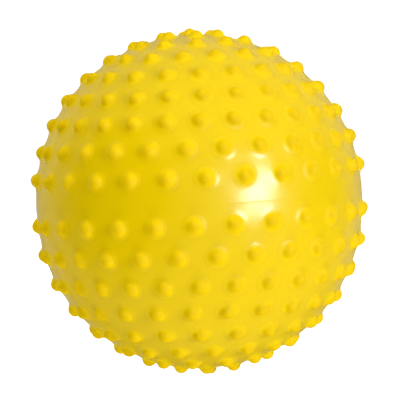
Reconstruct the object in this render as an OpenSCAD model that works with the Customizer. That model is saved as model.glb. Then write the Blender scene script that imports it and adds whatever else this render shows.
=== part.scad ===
// Hollow ball of soft vinyl, covered in rounded nubs and blown up through a valve.
// The poles lie on Z, and the XY plane halves the ball. The parting line of the mould's two
// parts runs a little above that plane. The valve is at the lower pole.

/* [Ball] */
// Diameter of the bare skin, between the nubs
ball_d = 174; // [165:1:240]
// Height of the straight band round the ball's middle
band_h = 4; // [2:0.2:8]
// Thickness of the moulded wall
wall = 1.6; // [1.2:0.1:2.6]

/* [Nubs] */
// Height of a nub above the skin
nub_h = 3.5; // [2.8:0.1:4.2]
// Diameter of a nub's rounded end
nub_d = 7.8; // [6.8:0.1:8.8]
// Diameter of a nub's foot, where it meets the skin
foot_d = 9.8; // [8.8:0.1:10.8]
// Diameter of the flatter dome that makes the foot
foot_dome_d = 13.4; // [12:0.1:13.8]
// Distance between nubs along a row, where the row isn't full
nub_spacing = 17.9; // [16:0.1:24]
// Most nubs in one row
full_row = 27; // [20:1:28]

/* [Parting line] */
// Height of the line above the ball's middle
line_z = 3; // [-1:0.2:4]
// Width of the raised line where the mould's two parts met
flash_w = 1.2; // [0.8:0.1:1.8]
// Height of that line above the skin
flash_h = 0.15; // [0.1:0.05:0.4]

/* [Valve seat] */
// Outer diameter of the neck
neck_d = 11.4; // [11:0.1:13]
// Length of the neck
neck_l = 13; // [9:0.5:18]
// Diameter of the flange inside the wall
flange_d = 24; // [20:0.5:30]
// Thickness of the flange
flange_t = 1.4; // [1:0.1:2]
// Thickness of the glue line between the seat and the skin
glue = 0.1; // [0.05:0.05:0.2]

/* [Valve plug] */
// Diameter of the shank
shank_d = 5; // [4:0.1:6]
// Length of the shank, from under the head to the tip
shank_l = 17; // [14:0.5:20]
// Length of the tapered nose, part of the shank
nose_l = 3; // [2:0.5:4]
// Diameter of the nose at its tip
nose_d = 3; // [2:0.1:3.6]
// Clearance all round the shank in its bore
shank_gap = 0.06; // [0.02:0.01:0.1]
// Diameter that the head would have if its end weren't flat
head_d = 9; // [8.6:0.1:9.4]
// Diameter of the head's flat end
head_end_d = 5.6; // [4.8:0.1:6.4]

/* [Hidden] */
$fn = 96;
nub_fn = 24;

// Rows of nubs in each half, evenly spaced from the first row to the pole
row_total = 8;
// Angle of the first row above the ball's middle, and below it
north_first_angle = 9.2;
south_first_angle = 4;
even_first_angle = (north_first_angle + south_first_angle) / 2;
// Share of one step along its row by which each row starts round from the front
north_start_shares = [0.22, 0.73, 0.15, 0.27, 0.23, 0.75, 0.18, 0.21];
south_start_shares = [0.86, 0.38, 0.88, 0.62, 0.84, 0.19, 0.55, 0.94];
// The front of the ball faces -Y
front_turn = -90;

ball_r = ball_d / 2;
half_band = band_h / 2;
inner_r = ball_r - wall;
flash_r = (pow(flash_w / 2, 2) + pow(flash_h, 2)) / (2 * flash_h);
line_r = reach(ball_d, 2 * max(0, abs(line_z) - half_band));

neck_r = neck_d / 2;
mouth_z = reach(ball_d, neck_d);
bore_d = shank_d + 2 * shank_gap;
flange_r = inner_r - glue;

// How far a ball of diameter d reaches above its centre, at a circle of diameter at_d on it
function reach(d, at_d) = sqrt(pow(d / 2, 2) - pow(at_d / 2, 2));

function row_angle(first_angle, row) = first_angle + row * (90 - first_angle) / row_total;

// Both halves have as many nubs in a row as a half that starts midway between their first rows
function row_d(row) = ball_d * cos(row_angle(even_first_angle, row));
function row_count(row) = min(full_row, round(PI * row_d(row) / nub_spacing));

// The place of each nub in a half: the half, the nub's angle up or down, and its turn
function row_places(half, first_angle, start_shares) = [
    for (row = [0 : row_total - 1], i = [0 : row_count(row) - 1])
        [half, row_angle(first_angle, row), front_turn + (i + start_shares[row]) * 360 / row_count(row)]
];

// The valve takes the place of a nub at the lower pole
nub_places = concat(
    [[1, 90, 0]],
    row_places(1, north_first_angle, north_start_shares),
    row_places(-1, south_first_angle, south_start_shares)
);

// One half of the ball's section, out to radius r, right of the axis
module half_section(r) {
    intersection() {
        translate([0, half_band]) circle(r = r);
        translate([0, half_band]) square([r, r]);
    }
    square([r, half_band]);
}

module section(r) {
    half_section(r);
    mirror([0, 1]) half_section(r);
}

// Rounded end on a flatter foot, with z = 0 at the centre of the ball's half
module nub(d, flat_d = 0) {
    translate([0, 0, ball_r + nub_h - reach(d, flat_d)]) sphere(d = d, $fn = nub_fn);
    translate([0, 0, reach(ball_d, foot_d) - reach(foot_dome_d, foot_d)])
        sphere(d = foot_dome_d, $fn = nub_fn);
}

module placed_nub(half, angle, turn) {
    translate([0, 0, half * half_band]) rotate([0, 90 - half * angle, turn]) nub(nub_d);
}

// Turns its children over to the lower pole, with z = 0 at the lower half's centre
module at_lower_pole() {
    mirror([0, 0, 1]) translate([0, 0, half_band]) children();
}

module ball_skin() {
    color("#f2cb1d") difference() {
        union() {
            rotate_extrude() section(ball_r);
            rotate_extrude() translate([line_r + flash_h - flash_r, line_z]) circle(r = flash_r);
            for (place = nub_places) placed_nub(place[0], place[1], place[2]);
        }
        rotate_extrude() section(inner_r);
        at_lower_pole() translate([0, 0, inner_r - wall])
            cylinder(d = neck_d + 2 * glue, h = 3 * wall);
    }
}

module valve_seat() {
    color("#e8bd14") at_lower_pole() difference() {
        union() {
            translate([0, 0, mouth_z - neck_l]) cylinder(d = neck_d, h = neck_l);
            intersection() {
                difference() {
                    sphere(r = flange_r);
                    sphere(r = flange_r - flange_t);
                }
                cylinder(d = flange_d, h = ball_r);
            }
        }
        translate([0, 0, mouth_z - neck_l - wall]) cylinder(d = bore_d, h = neck_l + 2 * wall);
    }
}

module valve_plug() {
    color("#f6d22a") at_lower_pole() {
        intersection() {
            nub(head_d, head_end_d);
            translate([0, 0, mouth_z]) cylinder(d = neck_d, h = ball_r + nub_h - mouth_z);
        }
        translate([0, 0, mouth_z - shank_l + nose_l]) cylinder(d = shank_d, h = shank_l - nose_l);
        translate([0, 0, mouth_z - shank_l]) cylinder(d1 = nose_d, d2 = shank_d, h = nose_l);
    }
}

ball_skin();
valve_seat();
valve_plug();
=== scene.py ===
# %% [markdown]
# # A sensory ball of soft vinyl
#
# The real ball is one thin skin of soft PVC. Liquid vinyl is poured into a hollow metal mould,
# and the mould is turned in an oven until the vinyl has coated its inside and set. The nubs and
# the fine raised line round the middle come out of the mould in one piece with the skin. A
# valve is glued in at one pole, and air keeps the whole thing round.
#
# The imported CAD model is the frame: it fixes every size and place. This script gives the ball
# its finer shape, its finish, its light and its camera.

# %% Load the frame
import math

import bpy
import numpy as np
from mathutils import Matrix, Vector, geometry


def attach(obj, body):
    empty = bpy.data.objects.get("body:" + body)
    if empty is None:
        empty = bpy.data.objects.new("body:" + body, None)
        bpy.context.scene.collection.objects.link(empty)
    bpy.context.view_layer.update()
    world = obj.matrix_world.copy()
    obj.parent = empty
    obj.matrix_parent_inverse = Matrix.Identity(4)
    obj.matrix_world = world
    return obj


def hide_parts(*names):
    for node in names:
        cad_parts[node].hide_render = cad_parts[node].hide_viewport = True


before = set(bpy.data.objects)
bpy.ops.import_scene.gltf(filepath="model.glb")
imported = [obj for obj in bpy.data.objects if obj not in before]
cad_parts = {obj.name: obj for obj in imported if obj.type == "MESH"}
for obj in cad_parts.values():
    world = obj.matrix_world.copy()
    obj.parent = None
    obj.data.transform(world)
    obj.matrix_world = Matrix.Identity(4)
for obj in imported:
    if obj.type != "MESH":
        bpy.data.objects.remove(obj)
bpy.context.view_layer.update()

# %% [markdown]
# ## Sizes
#
# Every size is a real one, in millimetres, and the same as in the CAD model, apart from the
# parting line: trimmed, it is only 0.05 mm high, and its foot runs out a little wider. Sizes are
# turned to metres where a mesh is made, because Blender's unit is the metre.

# %% Sizes in millimetres
MM = 0.001
SKIN_R = 87.0
HALF_BAND = 2.0
WALL = 1.6

NUB_R = 3.9
NUB_H = 3.5
FOOT_R = 4.4
FOOT_SLOPE = math.radians(18)
SKIRT_R = 7.6

LINE_W = 1.2
LINE_H = 0.05
LINE_Z = 3.0

NECK_R = 5.7
NECK_L = 13.0
GLUE = 0.1
FLANGE_R = 12.0
FLANGE_T = 1.4
BORE_R = 2.56

SHANK_R = 2.5
SHANK_L = 17.0
NOSE_L = 3.0
NOSE_R = 1.5
HEAD_R = 4.5
HEAD_END_R = 2.8
HEAD_FOOT_R = 5.1

MOUTH = math.sqrt(SKIN_R**2 - NECK_R**2)
print("ball across the nubs, mm:", 2 * (SKIN_R + NUB_H))

# %% [markdown]
# ## Where the nubs are
#
# The mould maker set the nubs out in rings. Each half of the ball has eight rings, evenly spaced
# up to one nub at its pole. The three rings next to the middle hold 27 nubs each, and every
# other one of them is turned by half a step, so that the nubs stand in a zigzag. Nearer the pole
# the rings are shorter, and hold as many nubs as fit about 18 mm apart. The parting line isn't
# quite at the ball's middle, and the rings lie evenly about that line, so the first ring above
# is further from the middle than the first ring below. The ball's front faces -Y. Each ring
# starts at its own share of a step round from there, which was read off the photograph.

# %% Place the nubs
FULL_ROW = 27
NUB_SPACING = 17.9
ROWS = 8
NORTH_FIRST = 9.2
SOUTH_FIRST = 4.0
NORTH_START_SHARES = (0.22, 0.73, 0.15, 0.27, 0.23, 0.75, 0.18, 0.21)
SOUTH_START_SHARES = (0.86, 0.38, 0.88, 0.62, 0.84, 0.19, 0.55, 0.94)
FRONT_TURN = -90


def row_angle(first, row):
    return math.radians(first + row * (90 - first) / ROWS)


def nub_places(first, start_shares):
    """Returns each nub's (angle from the middle, turn round the axis), in radians."""
    places = []
    for row, share in enumerate(start_shares):
        even = row_angle((NORTH_FIRST + SOUTH_FIRST) / 2, row)
        count = min(FULL_ROW, round(2 * math.pi * SKIN_R * math.cos(even) / NUB_SPACING))
        for i in range(count):
            turn = math.radians(FRONT_TURN + (i + share) * 360 / count)
            places.append((row_angle(first, row), turn))
    return places


north_nubs = nub_places(NORTH_FIRST, NORTH_START_SHARES) + [(math.pi / 2, 0.0)]
south_nubs = nub_places(SOUTH_FIRST, SOUTH_START_SHARES)
print("nubs:", len(north_nubs), "and", len(south_nubs))

# %% [markdown]
# ## The shape of one nub
#
# A nub is a round end that runs into the skin in a hollow curve, because a sharp inner corner
# would tear when the ball is pulled from its mould. Round that curve the skin still rises a
# little: a flat skirt about 3 mm wide, which nobody notices until it catches the light as a pale
# crescent. The half section is a row of points from the tip outwards: on the round end, then on
# a hollow fillet that touches the end and meets the skirt at its slope. MATT_H is how far up the
# nub's own, duller finish starts.

# %% Draw a nub's half section
def nub_profile(end_r, end_centre, foot_r, foot_h, foot_slope, steps):
    """Returns (distance from the nub's axis, height above the skin) from the tip outwards."""
    rise, sine, cosine = foot_h - end_centre, math.sin(foot_slope), math.cos(foot_slope)
    fillet_r = (foot_r**2 + rise**2 - end_r**2) / (2 * (end_r - foot_r * sine - rise * cosine))
    meet = math.atan2(foot_r + fillet_r * sine, rise + fillet_r * cosine)
    points = []
    for i in range(1, steps[0] + 1):
        a = meet * i / steps[0]
        points.append((end_r * math.sin(a), end_centre + end_r * math.cos(a)))
    for i in range(1, steps[1] + 1):
        a = meet + (foot_slope - meet) * i / steps[1]
        points.append((foot_r + fillet_r * (sine - math.sin(a)),
                       foot_h + fillet_r * (cosine - math.cos(a))))
    return points


SKIRT_CURVE = 2.0
FOOT_H = math.tan(FOOT_SLOPE) * (SKIRT_R - FOOT_R) / SKIRT_CURVE
MATT_H = 0.25
END_STEPS = 5
FILLET_STEPS = 4


def skirt_height(distance):
    """How far the skin rises round a nub, by the distance from the nub's axis."""
    share = np.clip((SKIRT_R - distance) / (SKIRT_R - FOOT_R), 0, 1)
    return FOOT_H * share**SKIRT_CURVE


profile = nub_profile(NUB_R, NUB_H - NUB_R, FOOT_R, FOOT_H, FOOT_SLOPE,
                      (END_STEPS, FILLET_STEPS))
print("fillet from and to, mm:", [round(v, 2) for v in profile[END_STEPS - 1] + profile[-1]])

# %% [markdown]
# ## Points on one half of the skin
#
# The skin could be a ball with a displacement texture, but then every nub would be as coarse as
# the ball's own grid. Here each nub gets its own rings of points, the plain skin between them
# gets an even spread 2.6 mm apart, and triangles are drawn between all the points afterwards.
# Each point is kept twice: where it lies on the bare ball, which decides how the triangles are
# drawn, and where it really lies, with its height. The collar, made further on, fills the gap
# between the halves and has 540 points in each row, so a half ends in a ring of as many.

# %% Place a ring of points on the bare ball
COLUMNS = 540
COLLAR_TOP = 4.4
NORTH_EDGE = math.asin((COLLAR_TOP - HALF_BAND) / SKIN_R)
SOUTH_EDGE = 0.0


def bare_ball(distances, turns):
    """Points of the bare half ball round the +Z pole, by their distance from the axis."""
    return np.column_stack([distances * np.cos(turns), distances * np.sin(turns),
                            np.sqrt(SKIN_R**2 - distances**2)])


def facing(angle, turn):
    """The rotation that takes the +Z pole to a nub's place."""
    return np.array(Matrix.Rotation(turn, 3, "Z") @ Matrix.Rotation(math.pi / 2 - angle, 3, "Y"))


def ring(distance, height, count, shift=0.0):
    turns = (np.arange(count) + shift) * 2 * math.pi / count
    bare = bare_ball(np.full(count, distance), turns)
    return bare, bare + [0, 0, height]


print("the halves start at, mm:", COLLAR_TOP, "and", -HALF_BAND)

# %% Collect the points of one nub
TIP_RING_POINTS = (8, 14)
RING_POINTS = 18
SKIRT_RINGS = (4.9, 5.2, 5.9, 6.7, SKIRT_R)


def nub_points():
    """The points of a nub that stands on the +Z pole, and how far up the nub each one is."""
    rings = [ring(0.0, NUB_H, 1)]
    skirt = [(distance, float(skirt_height(distance))) for distance in SKIRT_RINGS]
    for i, (distance, height) in enumerate(profile + skirt):
        count = TIP_RING_POINTS[i] if i < len(TIP_RING_POINTS) else RING_POINTS
        rings.append(ring(distance, height, count, 0.5 * (i % 2)))
    bare = np.vstack([r[0] for r in rings])
    real = np.vstack([r[1] for r in rings])
    return bare, real, np.clip(((real - bare)[:, 2] - MATT_H) / (NUB_H - MATT_H), 0, 1)


tip_bare, tip_real, tip_up = nub_points()
print("points in one nub:", len(tip_bare))

# %% Spread points over the plain skin
SPREAD = 2.6
SKIRT_CLEARANCE = 1.0


def skirted(points, centre_z, nub_axes, nub_centre_z):
    """Lifts points of the skin by the skirts of the nubs near them."""
    from_nub_centre = points - [0, 0, nub_centre_z]
    along = from_nub_centre @ nub_axes.T
    nearest = along.argmax(1)
    best = along[np.arange(len(points)), nearest]
    aside = np.sqrt(np.maximum(0, (from_nub_centre**2).sum(1) - best**2))
    out = points - [0, 0, centre_z]
    out /= np.linalg.norm(out, axis=1)[:, None]
    return points + out * skirt_height(aside)[:, None]


def plain_points(axes, edge):
    """An even spread over the half ball, that leaves out the ground the nubs stand on."""
    rows = []
    for i in range(1, int(SKIN_R * (math.pi / 2 - edge) / SPREAD)):
        angle = edge + i * SPREAD / SKIN_R
        count = max(6, round(2 * math.pi * SKIN_R * math.cos(angle) / SPREAD))
        turns = (np.arange(count) + 0.5 * (i % 2)) * 2 * math.pi / count
        rows.append(bare_ball(np.full(count, SKIN_R * math.cos(angle)), turns))
    points = np.vstack(rows)
    nearest = (points / SKIN_R @ axes.T).max(1)
    return points[nearest < math.cos((SKIRT_R + SKIRT_CLEARANCE) / SKIN_R)]


print("rows of plain points in a half:", int(SKIN_R * math.pi / 2 / SPREAD))

# %% [markdown]
# ## Triangles between the points
#
# A flat map of the half ball is made by looking at it from the opposite pole. Such a map keeps
# every small shape's angles, so the well-shaped triangles that Blender draws on the flat map
# are well shaped on the ball too.

# %% Make one half of the skin
EDGE_CLEARANCE = 0.6
SAME_POINT = 1e-9


def half_skin(places, pole_rings, edge_angle):
    """Returns points, heights up the nubs, triangles and nub axes of the half round +Z."""
    turns = [facing(*place) for place in places]
    axes = np.array([turn[:, 2] for turn in turns])
    edge = ring(SKIN_R * math.cos(edge_angle), 0.0, COLUMNS)[0]
    bare, real, up = [edge], [skirted(edge, 0, axes, 0)], [np.zeros(COLUMNS)]
    for one_bare, one_real in pole_rings:
        bare.append(one_bare)
        real.append(one_real)
        up.append(np.zeros(len(one_bare)))
    for turn in turns:
        inside = (tip_bare @ turn.T)[:, 2] > edge[0, 2] + EDGE_CLEARANCE
        bare.append((tip_bare @ turn.T)[inside])
        real.append((tip_real @ turn.T)[inside])
        up.append(tip_up[inside])
    kept_out = np.vstack([axes, [0, 0, 1]]) if pole_rings else axes
    plain = plain_points(kept_out, edge_angle)
    bare, real = np.vstack(bare + [plain]), np.vstack(real + [plain])
    up = np.concatenate(up + [np.zeros(len(plain))])
    flat = bare[:, :2] / (SKIN_R + bare[:, 2:])
    drawn = geometry.delaunay_2d_cdt([Vector(p) for p in flat], [], [], 0, SAME_POINT, False)
    assert len(drawn[0]) == len(flat)
    return real, up, np.array(drawn[2]), axes


north_points, north_up, north_faces, north_axes = half_skin(north_nubs, [], NORTH_EDGE)
print("north half:", len(north_points), "points,", len(north_faces), "triangles")

# %% [markdown]
# ## The hole for the valve
#
# The mould leaves a round hole at the lower pole. Its lip is slightly rounded, and turns down
# into the thickness of the wall. Each ring of the lip has a distance outside the hole's edge
# and a height above the bare skin.

# %% Make the lower half and its hole
HOLE_R = NECK_R + GLUE
HOLE_POINTS = 60
LIP_DEPTH = 0.35
LIP_RINGS = ((0.0, -LIP_DEPTH), (0.08, -0.12), (0.3, 0.0), (0.9, 0.0))
hole_rings = [ring(HOLE_R + outside, height, HOLE_POINTS, 0.5 * (i % 2))
              for i, (outside, height) in enumerate(LIP_RINGS)]
south_points, south_up, south_faces, south_axes = half_skin(south_nubs, hole_rings, SOUTH_EDGE)

first_lip = COLUMNS
in_lip = (south_faces >= first_lip) & (south_faces < first_lip + HOLE_POINTS)
south_faces = south_faces[~in_lip.all(1)]
print("south half:", len(south_points), "points,", len(south_faces), "triangles")

# %% [markdown]
# ## The band and the parting line
#
# The mould has two parts. Where they met, a little vinyl crept between them and left a fine
# raised line, trimmed low. It lies 3 mm above the ball's middle, where a straight band joins
# the two half balls. A collar of rows, close together on the line, takes in both. The line isn't
# quite even: its height wavers along its way, by two waves that go 7 and 23 times round.

# %% Make the collar
LINE_FOOT = 0.25
LINE_STEP = 0.15
LINE_STEPS = 6
LOWER_ROWS = (HALF_BAND, 0.7, -0.7)


def bare_r(z):
    """The skin's distance from the Z axis at a height above the middle."""
    return math.sqrt(SKIN_R**2 - max(0.0, abs(z) - HALF_BAND) ** 2)


def line_height(off, turn):
    """The height of the parting line at a distance from its own middle."""
    half = LINE_W / 2 + LINE_FOOT
    if abs(off) >= half:
        return 0.0
    even = LINE_H * 0.5 * (1 + math.cos(math.pi * off / half))
    return even * (0.82 + 0.12 * math.sin(7 * turn + 0.4) + 0.06 * math.sin(23 * turn))


collar_rows = [LINE_Z + k * LINE_STEP for k in range(LINE_STEPS, -LINE_STEPS, -1)]
collar_rows += LOWER_ROWS
collar = []
for z in collar_rows:
    for i in range(COLUMNS):
        turn = i * 2 * math.pi / COLUMNS
        r = bare_r(z) + line_height(z - LINE_Z, turn)
        collar.append((r * math.cos(turn), r * math.sin(turn), z))
collar = np.array(collar)
collar = skirted(collar, 0, north_axes, HALF_BAND)
collar = skirted(collar, 0, south_axes * [1, 1, -1], -HALF_BAND)
print("collar:", len(collar_rows), "rows of", COLUMNS)

# %% [markdown]
# ## The skin as one mesh
#
# Both halves and the collar share the points where they meet, so the surface is closed and its
# shading runs on without a seam. How far up a nub each point lies is stored with the mesh, for
# the material to use.

# %% Join the skin
def mesh_object(name, points, faces):
    mesh = bpy.data.meshes.new(name)
    mesh.from_pydata([Vector(p) * MM for p in points], [], faces)
    mesh.validate()
    mesh.shade_smooth()
    made = bpy.data.objects.new(name, mesh)
    bpy.context.scene.collection.objects.link(made)
    print(name, "has", len(mesh.vertices), "points and", len(mesh.polygons), "faces")
    return made


def join_skin():
    north = north_points + [0, 0, HALF_BAND]
    south = south_points * [1, 1, -1] - [0, 0, HALF_BAND]
    lip = south[first_lip:first_lip + HOLE_POINTS] + [0, 0, WALL - LIP_DEPTH]
    points = np.vstack([north, south, collar, lip])
    to_south, to_collar = len(north), len(north) + len(south)
    to_lip = to_collar + len(collar)
    faces = north_faces.tolist() + (south_faces[:, ::-1] + to_south).tolist()
    starts = [0] + [to_collar + r * COLUMNS for r in range(len(collar_rows))] + [to_south]
    for upper, lower in zip(starts, starts[1:]):
        for i in range(COLUMNS):
            j = (i + 1) % COLUMNS
            faces.append((upper + i, lower + i, lower + j, upper + j))
    for i in range(HOLE_POINTS):
        j = (i + 1) % HOLE_POINTS
        outer = to_south + first_lip
        faces.append((outer + i, outer + j, to_lip + j, to_lip + i))
    up = np.concatenate([north_up, south_up, np.zeros(len(collar) + len(lip))])
    return points, faces, up


skin_points, skin_faces, skin_up = join_skin()
skin = mesh_object("skin_moulded", skin_points, skin_faces)
raised = skin.data.attributes.new("raised", "FLOAT", "POINT")
raised.data.foreach_set("value", skin_up.astype(np.float32))

# %% [markdown]
# ## The valve
#
# The seat and its plug are small moulded pieces that are round about one axis, so each is
# turned from a half section, as on a lathe. Moulded vinyl has no sharp edges, so each corner of
# the section is rounded over first.

# %% Turn a section into a piece
TURNS = 72
ROUND_STEPS = 4
ON_AXIS = 1e-6


def rounded(section, radii):
    """Rounds each corner of a closed (r, z) section by its own radius."""
    points = []
    for i, (corner, radius) in enumerate(zip(section, radii)):
        here = Vector(corner)
        if not radius:
            points.append(here)
            continue
        back = (Vector(section[i - 1]) - here).normalized()
        on = (Vector(section[(i + 1) % len(section)]) - here).normalized()
        reach = radius / math.tan(back.angle(on) / 2)
        start, end = here + back * reach, here + on * reach
        for k in range(ROUND_STEPS + 1):
            t = k / ROUND_STEPS
            points.append(start * (1 - t) ** 2 + here * 2 * t * (1 - t) + end * t**2)
    return [tuple(p) for p in points]


def turned(name, section):
    """A piece of revolution about Z from a closed section; points on the axis are shared."""
    points, rings, faces = [], [], []
    for r, z in section:
        if r < ON_AXIS:
            rings.append([len(points)] * TURNS)
            points.append((0, 0, z))
            continue
        rings.append(list(range(len(points), len(points) + TURNS)))
        for i in range(TURNS):
            turn = i * 2 * math.pi / TURNS
            points.append((r * math.cos(turn), r * math.sin(turn), z))
    for one, two in zip(rings, rings[1:] + rings[:1]):
        if len(set(one)) == 1 and len(set(two)) == 1:
            continue
        for i in range(TURNS):
            j = (i + 1) % TURNS
            faces.append([*dict.fromkeys((one[i], one[j], two[j], two[i]))])
    return mesh_object(name, points, faces)


print("points round a turned piece:", TURNS)

# %% [markdown]
# The seat's neck goes through the wall, and its flange lies against the inside of the wall, as
# round as the wall is. Its corners are rounded by 0.2 to 0.5 mm.

# %% Make the valve seat
ARC_STEPS = 6


def down(height):
    """A height above the lower half's centre, towards the lower pole, as a place on Z."""
    return -HALF_BAND - height


def arc(radius, r_from, r_to):
    """Points on a ball round the lower half's centre, from one distance to another."""
    rs = [r_from + (r_to - r_from) * i / ARC_STEPS for i in range(ARC_STEPS + 1)]
    return [(r, down(math.sqrt(radius**2 - r**2))) for r in rs]


flange_out = SKIN_R - WALL - GLUE
flange_in = flange_out - FLANGE_T
seat_section = [(BORE_R, down(MOUTH)), (NECK_R, down(MOUTH)),
                *arc(flange_out, NECK_R, FLANGE_R), *arc(flange_in, FLANGE_R, NECK_R),
                (NECK_R, down(MOUTH - NECK_L)), (BORE_R, down(MOUTH - NECK_L))]
along_arc = [0] * (ARC_STEPS - 1)
seat_radii = [0.3, 0.35, 0.2, *along_arc, 0.4, 0.4, *along_arc, 0.3, 0.5, 0.3]
seat = turned("valve_seat_moulded", rounded(seat_section, seat_radii))

# %% [markdown]
# The plug's head is shaped like the other nubs, only a little wider and flat at its end, with
# a shallow dish in the flat. A thin shank with three shallow grooves holds it in the seat, and
# its nose is tapered so that it finds the bore. Each part of the section is a row of points, by
# their distance from the axis and by how deep they lie from the flat, the seat's mouth, a
# groove's middle or the start of the nose.

# %% Make the valve plug
HEAD_FOOT_SLOPE = math.radians(30)
HEAD_STEPS = (14, 5)
HEAD_END_BEND = 0.35
DISH = ((0, 0.22), (1.5, 0.2), (1.9, 0.02), (2.15, 0))
END_EDGE = ((HEAD_END_R - 0.3, 0), (HEAD_END_R + 0.12, 0.12))
SHANK_TOP = ((SHANK_R + 0.25, 0), (SHANK_R, 0.25))
GROOVES_AT = (4.0, 6.5, 9.0)
GROOVE = ((SHANK_R, -0.5), (SHANK_R - 0.12, -0.25), (SHANK_R - 0.12, 0.25), (SHANK_R, 0.5))
NOSE = ((SHANK_R, -0.2), (SHANK_R - 0.08, 0.3), (NOSE_R + 0.2, NOSE_L - 0.45),
        (NOSE_R - 0.2, NOSE_L - 0.08), (NOSE_R - 0.7, NOSE_L), (0, NOSE_L))


def plug_section():
    """The plug's half section, from the middle of the flat end to the tip of the nose."""
    flat = SKIN_R + NUB_H
    centre = flat - math.sqrt(HEAD_R**2 - HEAD_END_R**2)
    head = nub_profile(HEAD_R, centre - MOUTH, HEAD_FOOT_R, 0, HEAD_FOOT_SLOPE, HEAD_STEPS)
    section = [(r, down(flat - deep)) for r, deep in DISH + END_EDGE]
    section += [(r, down(MOUTH + height)) for r, height in head if r > HEAD_END_R + HEAD_END_BEND]
    section += [(r, down(MOUTH - deep)) for r, deep in SHANK_TOP]
    for place in GROOVES_AT:
        section += [(r, down(MOUTH - place - deep)) for r, deep in GROOVE]
    nose = MOUTH - SHANK_L + NOSE_L
    return section + [(r, down(nose - deep)) for r, deep in NOSE]


plug = turned("valve_plug_moulded", plug_section())

# %% [markdown]
# ## Colour
#
# Colours are picked as the sRGB values that a screen shows, and Blender works in linear light,
# so one function converts them. A second one adds a node, with its settings and links, to the
# tree of a material or of the world.

# %% Turn sRGB hex into linear light
def srgb(code):
    values = [int(code[i:i + 2], 16) / 255 for i in (1, 3, 5)]
    return [v / 12.92 if v <= 0.04045 else ((v + 0.055) / 1.055) ** 2.4 for v in values] + [1]


print("the skin's yellow in linear light:", [round(v, 3) for v in srgb("#F6D300")])

# %% Add a node
def node(tree, kind, links=(), **settings):
    """Adds a node with its settings, and links (input, other node, output)."""
    made = tree.nodes.new(kind)
    for name, value in settings.items():
        setattr(made, name, value)
    for put_in, other, out in links:
        if isinstance(other, bpy.types.Node):
            tree.links.new(other.outputs[out], made.inputs[put_in])
        else:
            made.inputs[put_in].default_value = other
    return made

# %% [markdown]
# ## Pearly vinyl, moulded
#
# The skin is plasticised PVC with a yellow pigment and a little pearl powder. PVC has an IOR of
# about 1.53, and the pearl's flakes under the surface mirror a little more, which a specular
# level of 0.8 adds. The mould was blasted, so the skin is satin, not glossy: one broad gleam with
# soft edges. The blast never reached the bottoms of the mould's pits, which stayed rough from the
# cutter, so the nubs come out matt and without the pearl's shine. They are a second material on
# the same mesh, because a specular level belongs to a whole material. Where the liquid vinyl
# gathered in the pits it is thicker, and the yellow there is a little deeper. The blasted mould
# leaves a fine grain of about 0.5 mm, and the wall's cooling slow waves about 25 mm long.

# %% Make the vinyl
WAVE_L = 25.0
WAVE_SHARE = 0.3
GRAIN_H = 0.05
GRAIN_SHARE = 0.1
MATT_FROM = 0.1
VINYL_IOR = 1.53


def moulded_vinyl(name, thin, deep, grain_mm, gloss, matt, mirror):
    """Vinyl from a thin to a deep yellow, and from a gloss roughness to a matt one up a nub."""
    material = bpy.data.materials.new(name)
    material.use_nodes = True
    tree = material.node_tree
    shader = tree.nodes["Principled BSDF"]
    place = node(tree, "ShaderNodeTexCoord")
    clouds = node(tree, "ShaderNodeTexNoise", [("Vector", place, "Object"),
                  ("Scale", 1 / (WAVE_L * MM), 0), ("Detail", 2.0, 0)])
    raised = node(tree, "ShaderNodeAttribute", attribute_name="raised")
    amount = node(tree, "ShaderNodeMath", [(0, clouds, "Fac"), (1, WAVE_SHARE, 0),
                  (2, raised, "Fac")], operation="MULTIPLY_ADD", use_clamp=True)
    colour = node(tree, "ShaderNodeMix", [(0, amount, 0), (6, srgb(thin), 0), (7, srgb(deep), 0)],
                  data_type="RGBA")
    grain = node(tree, "ShaderNodeTexNoise", [("Vector", place, "Object"),
                 ("Scale", 1 / (grain_mm * MM), 0), ("Detail", 3.0, 0)])
    relief = node(tree, "ShaderNodeBump", [("Height", grain, "Fac"), ("Strength", GRAIN_SHARE, 0),
                  ("Distance", GRAIN_H * MM, 0)])
    roughness = node(tree, "ShaderNodeMapRange", [("Value", raised, "Fac"),
                     ("From Max", MATT_FROM, 0), ("To Min", gloss, 0), ("To Max", matt, 0)])
    tree.links.new(colour.outputs[2], shader.inputs["Base Color"])
    tree.links.new(roughness.outputs["Result"], shader.inputs["Roughness"])
    tree.links.new(relief.outputs["Normal"], shader.inputs["Normal"])
    shader.inputs["IOR"].default_value = VINYL_IOR
    shader.inputs["Specular IOR Level"].default_value = mirror
    return material


satin_vinyl = moulded_vinyl("satin_pearly_pvc", "#F6D300", "#F0CA00",
                            grain_mm=0.5, gloss=0.27, matt=0.66, mirror=0.8)
matt_vinyl = moulded_vinyl("matt_pearly_pvc", "#F6D300", "#F0CA00",
                           grain_mm=0.5, gloss=0.27, matt=0.66, mirror=0.25)
skin.data.materials.append(satin_vinyl)
skin.data.materials.append(matt_vinyl)
on_a_nub = [min(skin_up[point] for point in face.vertices) > 0 for face in skin.data.polygons]
skin.data.polygons.foreach_set("material_index", on_a_nub)
print("faces on the nubs:", sum(on_a_nub), "of", len(on_a_nub))

# %% [markdown]
# The seat and the plug are injection moulded from a firmer vinyl of nearly the same yellow. Their
# mould was finely ground, so they are smoother than the nubs and a little duller than the skin
# between them, and have no pearl powder's depth.

# %% Finish the valve
seat_vinyl = moulded_vinyl("injection_moulded_pvc_seat", "#E9C300", "#DDB100",
                           grain_mm=0.3, gloss=0.36, matt=0.36, mirror=0.7)
plug_vinyl = moulded_vinyl("injection_moulded_pvc_plug", "#F2CA00", "#E6BA00",
                           grain_mm=0.3, gloss=0.40, matt=0.40, mirror=0.7)
seat.data.materials.append(seat_vinyl)
plug.data.materials.append(plug_vinyl)
print("finishes:", ", ".join(material.name for material in bpy.data.materials))

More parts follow.
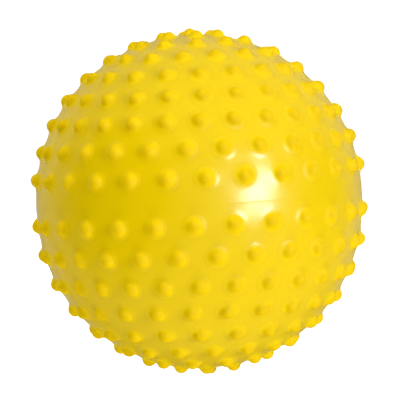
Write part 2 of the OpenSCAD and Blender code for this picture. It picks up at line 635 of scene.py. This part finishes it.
# %% [markdown]
# ## What moves with what
#
# The skin and the seat are glued together and ride on the ball's body. The plug rides on its
# own, because it slides out of the seat.

# %% Put the pieces on their bodies
for piece, body, cad_node, slot in ((skin, "ball", "ball_skin", "skin"),
                                    (seat, "ball", "valve_seat", "seat"),
                                    (plug, "plug", "valve_plug", "plug")):
    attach(piece, body)
    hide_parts(cad_node)
    print(piece.name, "rides on", body)

# %% [markdown]
# ## The studio
#
# The photograph's ground is pure white, without a horizon or a shadow: it was cut in behind the
# ball afterwards. A round white sheet with its edge curved up into a wall gives that ground here,
# from every side. It only fills the picture, so it throws no light on the ball and doesn't show
# in its gloss. It lies 20 mm under the ball, because the plug needs that room to come out.

# %% Lay the white sheet
PLUG_ROOM = 20
FLOOR = down(SKIN_R + NUB_H) - PLUG_ROOM


def white_sheet():
    flat_r, bend_r, wall_h, sides, bends = 3200, 800, 3500, 64, 8
    section = [(flat_r + bend_r * math.sin(a), FLOOR + bend_r * (1 - math.cos(a)))
               for a in (math.pi / 2 * i / bends for i in range(bends + 1))]
    section.append((flat_r + bend_r, FLOOR + wall_h))
    points = [(r * math.cos(math.tau * i / sides), r * math.sin(math.tau * i / sides), z)
              for r, z in section for i in range(sides)]
    faces = [tuple(range(sides))]
    for k in range(len(section) - 1):
        for i in range(sides):
            j = (i + 1) % sides
            faces.append((k * sides + i, k * sides + j, (k + 1) * sides + j, (k + 1) * sides + i))
    return mesh_object("white_sheet", points, faces)


sheet = white_sheet()
sheet.visible_diffuse = sheet.visible_glossy = sheet.visible_shadow = False
paper = bpy.data.materials.new("lit_white_paper")
paper.use_nodes = True
on_paper = paper.node_tree.nodes["Principled BSDF"].inputs
on_paper["Base Color"].default_value = srgb("#F2F2F2")
on_paper["Roughness"].default_value = 1.0
on_paper["Emission Color"].default_value = srgb("#FFFFFF")
on_paper["Emission Strength"].default_value = 1.0
sheet.data.materials.append(paper)

# %% [markdown]
# ## The light
#
# One gleam lies right of the ball's middle, so the main softbox stands to the right of the
# camera, a little above the ball's middle. The other lamps are wide and soft. They light the
# ball without a gleam of their own, as lamps behind polarising sheets do. For that they are
# hidden from gloss, and their multiple importance is off, because it let a little gloss through.
# Each direction is (right, up, front), seen from the camera.

# %% Set up the lamps
FILL_DISTANCE = 2.0
FILL_SIZE = (1.2, 1.2)


def softbox(name, direction, distance, size, watts, gleams=False):
    """A lamp of size (across, up), in metres, that faces the ball."""
    lamp = bpy.data.lights.new(name, "AREA")
    lamp.shape, lamp.energy = "RECTANGLE", watts
    lamp.size, lamp.size_y = size
    lamp.cycles.use_multiple_importance_sampling = gleams
    made = bpy.data.objects.new(name, lamp)
    made.location = Vector((direction[0], -direction[2], direction[1])).normalized() * distance
    made.rotation_euler = made.location.to_track_quat("Z", "Y").to_euler()
    made.visible_glossy, made.visible_camera = gleams, False
    bpy.context.scene.collection.objects.link(made)
    print(name, watts, "W")


softbox("main_softbox", (0.638, 0.12, 0.77), 1.4, (0.5, 0.54), 12, gleams=True)
for name, direction, watts in (("front_left_fill", (-0.6, 0.0, 0.8), 3.7),
                               ("left_fill", (-1.0, 0.0, 0.2), 8.5),
                               ("upper_left_fill", (-0.7, 0.7, 0.3), 15.5),
                               ("top_fill", (0.0, 1.0, 0.2), 7),
                               ("upper_right_fill", (0.7, 0.7, 0.3), 9),
                               ("right_fill", (0.8, 0.0, 0.6), 3.2),
                               ("low_fill", (0.0, -1.0, 0.2), 27.5),
                               ("back_fill", (0.0, 0.1, -1.0), 25)):
    softbox(name, direction, FILL_DISTANCE, FILL_SIZE, watts)

# %% [markdown]
# ## The room
#
# The room round the ball is a dim grey, and the world's shader stands for it. A black flag left
# of the camera keeps the ball's left side deep yellow, and a dark doorway does the same at the
# right. The room is lighter behind the ball, which its edge mirrors as a pale rim, but the floor
# there is dark. Each of these fades out over a range, so that no edge shows in the gloss. The
# places are directions from the ball along X, Y and Z.

# %% Set up the room
FLAG_AT = (-0.85, -0.5, 0.1)
DOORWAY_AT = (0.98, 0.15, 0.0)


def grey_room(name, front_light, back_light):
    """A dim room, dark at the flag, the doorway and the floor, and lighter behind the ball."""
    world = bpy.data.worlds.new(name)
    world.use_nodes = True
    tree = world.node_tree
    look = node(tree, "ShaderNodeTexCoord")
    off_flag = node(tree, "ShaderNodeVectorMath", [(0, look, "Generated"), (1, FLAG_AT, 0)],
                    operation="DISTANCE")
    lit = node(tree, "ShaderNodeMapRange", [("Value", off_flag, "Value"), ("From Min", 0.65, 0),
               ("From Max", 0.95, 0), ("To Max", front_light, 0)])
    off_doorway = node(tree, "ShaderNodeVectorMath", [(0, look, "Generated"), (1, DOORWAY_AT, 0)],
                       operation="DISTANCE")
    wall = node(tree, "ShaderNodeMapRange", [("Value", off_doorway, "Value"), ("From Min", 0.3, 0),
                ("From Max", 0.6, 0), ("To Min", 0.2, 0)])
    front = node(tree, "ShaderNodeMath", [(0, lit, "Result"), (1, wall, "Result")],
                 operation="MULTIPLY")
    parts = node(tree, "ShaderNodeSeparateXYZ", [("Vector", look, "Generated")])
    behind = node(tree, "ShaderNodeMapRange", [("Value", parts, "Y"), ("From Min", 0.4, 0),
                  ("From Max", 0.75, 0), ("To Max", back_light - front_light, 0)])
    above = node(tree, "ShaderNodeMapRange", [("Value", parts, "Z"), ("From Min", -0.5, 0),
                 ("From Max", -0.25, 0), ("To Min", -0.6, 0)])
    strength = node(tree, "ShaderNodeMath", [(0, behind, "Result"), (1, above, "Result"),
                    (2, front, "Value")], operation="MULTIPLY_ADD")
    tree.links.new(strength.outputs[0], tree.nodes["Background"].inputs["Strength"])
    tree.nodes["Background"].inputs["Color"].default_value = srgb("#FFFFFF")
    return world


bpy.context.scene.world = grey_room("studio_room", 0.16, 0.35)
bpy.context.scene.view_settings.view_transform = "Standard"
print("the room:", bpy.context.scene.world.name)

# %% [markdown]
# ## The camera
#
# The photograph was taken with a long lens from about a metre and a half away, a little above
# the ball's middle, and the ball stands a few degrees askew in it. The distance and angles come
# from the places of about a hundred nubs in the picture. FOCUS_PX is the lens's focal length in
# pixels of the picture, and CENTRE_PX is where the ball's middle lies in it.

# %% Set up the camera
FOCUS_PX = 2755
FRAME_PX = 400
SENSOR = 36
DISTANCE = 1473.78 * MM
ELEVATION = math.radians(3.0)
ROLL = math.radians(3.2)
CENTRE_PX = (199.2, 201.3)


def aim_camera():
    data = bpy.data.cameras.new("camera")
    data.sensor_width = SENSOR
    data.lens = FOCUS_PX / FRAME_PX * data.sensor_width
    made = bpy.data.objects.new("camera", data)
    back = Vector((0, -math.cos(ELEVATION), math.sin(ELEVATION)))
    across, up = Vector((1, 0, 0)), back.cross(Vector((1, 0, 0)))
    right = across * math.cos(ROLL) - up * math.sin(ROLL)
    above = across * math.sin(ROLL) + up * math.cos(ROLL)
    turn = Matrix((right, above, back)).transposed()
    off_right = (FRAME_PX / 2 - CENTRE_PX[0]) / FOCUS_PX
    off_up = (CENTRE_PX[1] - FRAME_PX / 2) / FOCUS_PX
    aside = Matrix.Rotation(-off_right, 3, "Y") @ Matrix.Rotation(off_up, 3, "X")
    made.matrix_world = Matrix.Translation(back * DISTANCE) @ (turn @ aside).to_4x4()
    bpy.context.scene.collection.objects.link(made)
    return made


bpy.context.scene.camera = aim_camera()
print("lens, mm:", round(bpy.context.scene.camera.data.lens, 1))
